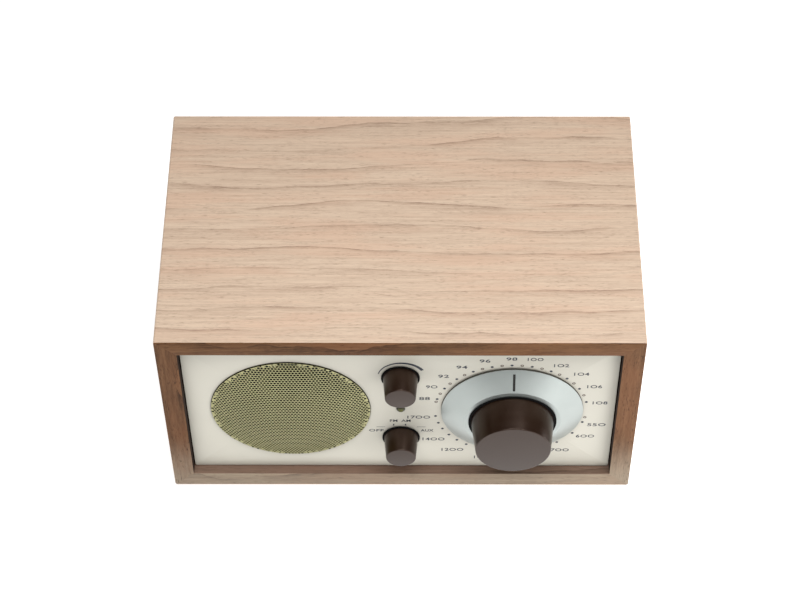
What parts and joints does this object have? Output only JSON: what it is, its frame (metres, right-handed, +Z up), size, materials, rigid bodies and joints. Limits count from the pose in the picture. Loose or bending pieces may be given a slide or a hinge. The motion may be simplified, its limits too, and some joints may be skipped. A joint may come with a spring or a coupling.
{
  "type": "tabletop radio",
  "caption": "Tabletop radio: mitred wooden cabinet, recessed panel with domed round grille, two small knobs, a lamp and a large tuning knob on a silver dial geared to a variable capacitor.",
  "frame": {"origin": "middle of the bounding box's underside, where the feet stand on the table", "axes": "+X to the right seen from the front, +Y to the back, +Z up"},
  "size_m": [0.213, 0.156, 0.115],
  "materials": {
    "veneer": "clear satin lacquer on light walnut veneer",
    "softwood": "bare sawn wood",
    "panel": "fine matt beige",
    "steel": "plain zinc-plated steel",
    "grille": "satin olive gold paint, perforated",
    "rubber": "matt black",
    "cone": "pressed fibre",
    "magnet": "bare ferrite",
    "copper": "enamelled wire",
    "lens": "clear olive yellow",
    "knob": "satin dark brown",
    "bakelite": "moulded",
    "gears": "cut brass",
    "dial": "fine silver paint",
    "aluminium": "stamped sheet",
    "board": "green solder mask",
    "parts": "mixed electronic parts",
    "core": "varnished laminations",
    "black": "matt black"
  },
  "bodies": {
    "radio": {"cabinet_top": "veneer", "cabinet_bottom": "veneer", "cabinet_left": "veneer", "cabinet_right": "veneer", "corner_blocks": "softwood", "front_panel": "panel", "front_panel_screws": "steel", "speaker_grille": "grille", "speaker_gasket": "rubber", "speaker_basket": "steel", "speaker_surround": "rubber", "speaker_cone": "cone", "dust_cap": "cone", "spider": "cone", "voice_coil": "copper", "top_plate": "steel", "speaker_magnet": "magnet", "speaker_yoke": "steel", "speaker_screws": "steel", "power_lamp": "lens", "volume_control": "bakelite", "selector_switch": "bakelite", "control_nuts": "steel", "ring_gear": "gears", "gear_screws": "steel", "capacitor_stator": "aluminium", "capacitor_frame": "steel", "tuning_bracket": "steel", "bracket_screws": "steel", "main_board": "board", "board_posts": "steel", "board_screws": "steel", "board_parts": "parts", "heat_sink": "aluminium", "transformer_core": "core", "transformer_coil": "copper", "ferrite_rod": "magnet", "aerial_coil": "copper", "rear_panel": "black", "rear_screws": "steel", "bass_port": "black", "mains_inlet": "black", "audio_sockets": "black", "aerial_socket": "steel", "aerial_switch": "steel", "rubber_feet": "rubber"},
    "volume": {"volume_knob": "knob", "volume_shaft": "steel"},
    "selector": {"selector_knob": "knob", "selector_shaft": "steel"},
    "tuner": {"tuning_knob": "knob", "tuning_shaft": "steel", "sun_gear": "gears"},
    "dial": {"tuning_dial": "dial", "planet_carrier": "aluminium", "capacitor_rotor": "aluminium"},
    "planet_1": {"planet_gear_1": "gears"},
    "planet_2": {"planet_gear_2": "gears"},
    "planet_3": {"planet_gear_3": "gears"},
    "switch_lever": {"aerial_switch_lever": "black"}
  },
  "joints": [
    {"name": "volume_turn", "type": "hinge", "parent": "radio", "child": "volume", "pos_m": [0, -0.06, 0.0833], "axis": [0, 1, 0], "range_deg": [-150, 150]},
    {"name": "selector_turn", "type": "hinge", "parent": "radio", "child": "selector", "pos_m": [0, -0.06, 0.0363], "axis": [0, 1, 0], "range_deg": [0, 90]},
    {"name": "tuning_turn", "type": "hinge", "parent": "radio", "child": "tuner", "pos_m": [0.0502, -0.06, 0.0585], "axis": [0, 1, 0], "range_deg": [-400, 400]},
    {"name": "dial_turn", "type": "hinge", "parent": "radio", "child": "dial", "pos_m": [0.0502, -0.06, 0.0585], "axis": [0, 1, 0], "range_deg": [-80, 80]},
    {"name": "planet_1_spin", "type": "hinge", "parent": "dial", "child": "planet_1", "pos_m": [0.0592, -0.06, 0.0585], "axis": [0, 1, 0], "range_deg": [-214, 214]},
    {"name": "planet_2_spin", "type": "hinge", "parent": "dial", "child": "planet_2", "pos_m": [0.0457, -0.06, 0.05071], "axis": [0, 1, 0], "range_deg": [-214, 214]},
    {"name": "planet_3_spin", "type": "hinge", "parent": "dial", "child": "planet_3", "pos_m": [0.0457, -0.06, 0.06629], "axis": [0, 1, 0], "range_deg": [-214, 214]},
    {"name": "switch_slide", "type": "slide", "parent": "radio", "child": "switch_lever", "axis": [1, 0, 0], "range_m": [0, 0.004]}
  ],
  "couplings": [
    {"joint": "dial_turn", "follows": "tuning_turn", "ratio": 0.2},
    {"joint": "planet_1_spin", "follows": "tuning_turn", "ratio": -0.53333},
    {"joint": "planet_2_spin", "follows": "tuning_turn", "ratio": -0.53333},
    {"joint": "planet_3_spin", "follows": "tuning_turn", "ratio": -0.53333}
  ]
}
